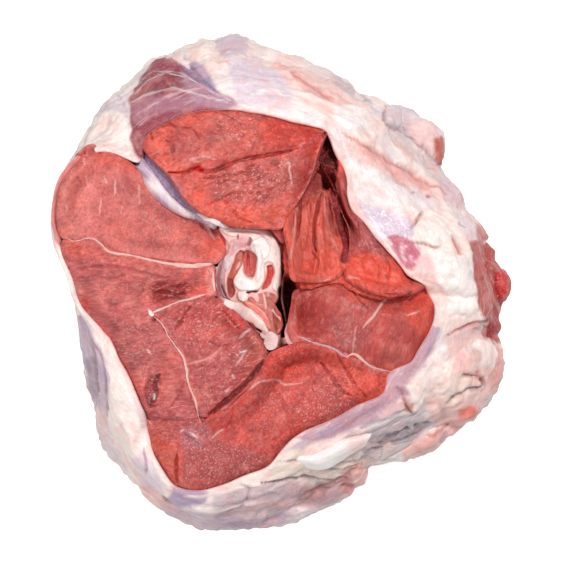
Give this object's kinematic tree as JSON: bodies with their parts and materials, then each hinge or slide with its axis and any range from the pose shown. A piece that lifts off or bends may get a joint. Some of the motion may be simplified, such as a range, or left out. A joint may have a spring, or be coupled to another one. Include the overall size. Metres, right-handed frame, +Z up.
{
  "type": "raw beef shank slice",
  "caption": "Thick boneless slice of raw leg meat with red muscles, a white core, a white septum and a jacket of fat and silverskin.",
  "frame": {"origin": "on the table under the middle of the slice's box", "axes": "+Z up, out of the upper cut face; +Y from the rounded lower muscle towards the domed upper muscle; +X towards the thick fat pads"},
  "size_m": [0.1554, 0.1688, 0.0569],
  "materials": {
    "flesh": "moist raw red muscle, fine grain",
    "flesh_trimming": "moist dark red trimming",
    "tendon_and_fat": "white tendon and fat, moist",
    "fat": "creamy fat, waxy",
    "silverskin": "pearly wet silverskin over fat and muscle",
    "membrane": "thin grey-purple membrane, wet"
  },
  "bodies": {
    "root": {"muscle_top": "flesh", "muscle_left": "flesh", "muscle_flank": "flesh", "muscle_wedge": "flesh", "muscle_base": "flesh", "muscle_heel": "flesh", "muscle_folds": "flesh", "muscle_wall": "flesh", "fat_core": "tendon_and_fat", "septum": "tendon_and_fat", "jacket": "silverskin", "fat_pad_right": "fat", "trim_muscle_right": "flesh_trimming", "fat_pad_lower_right": "fat", "flap_upper_right": "fat", "membrane_strip_lower": "membrane", "tendon_flap_lower": "tendon_and_fat", "membrane_lobe_bottom": "membrane"}
  },
  "joints": []
}
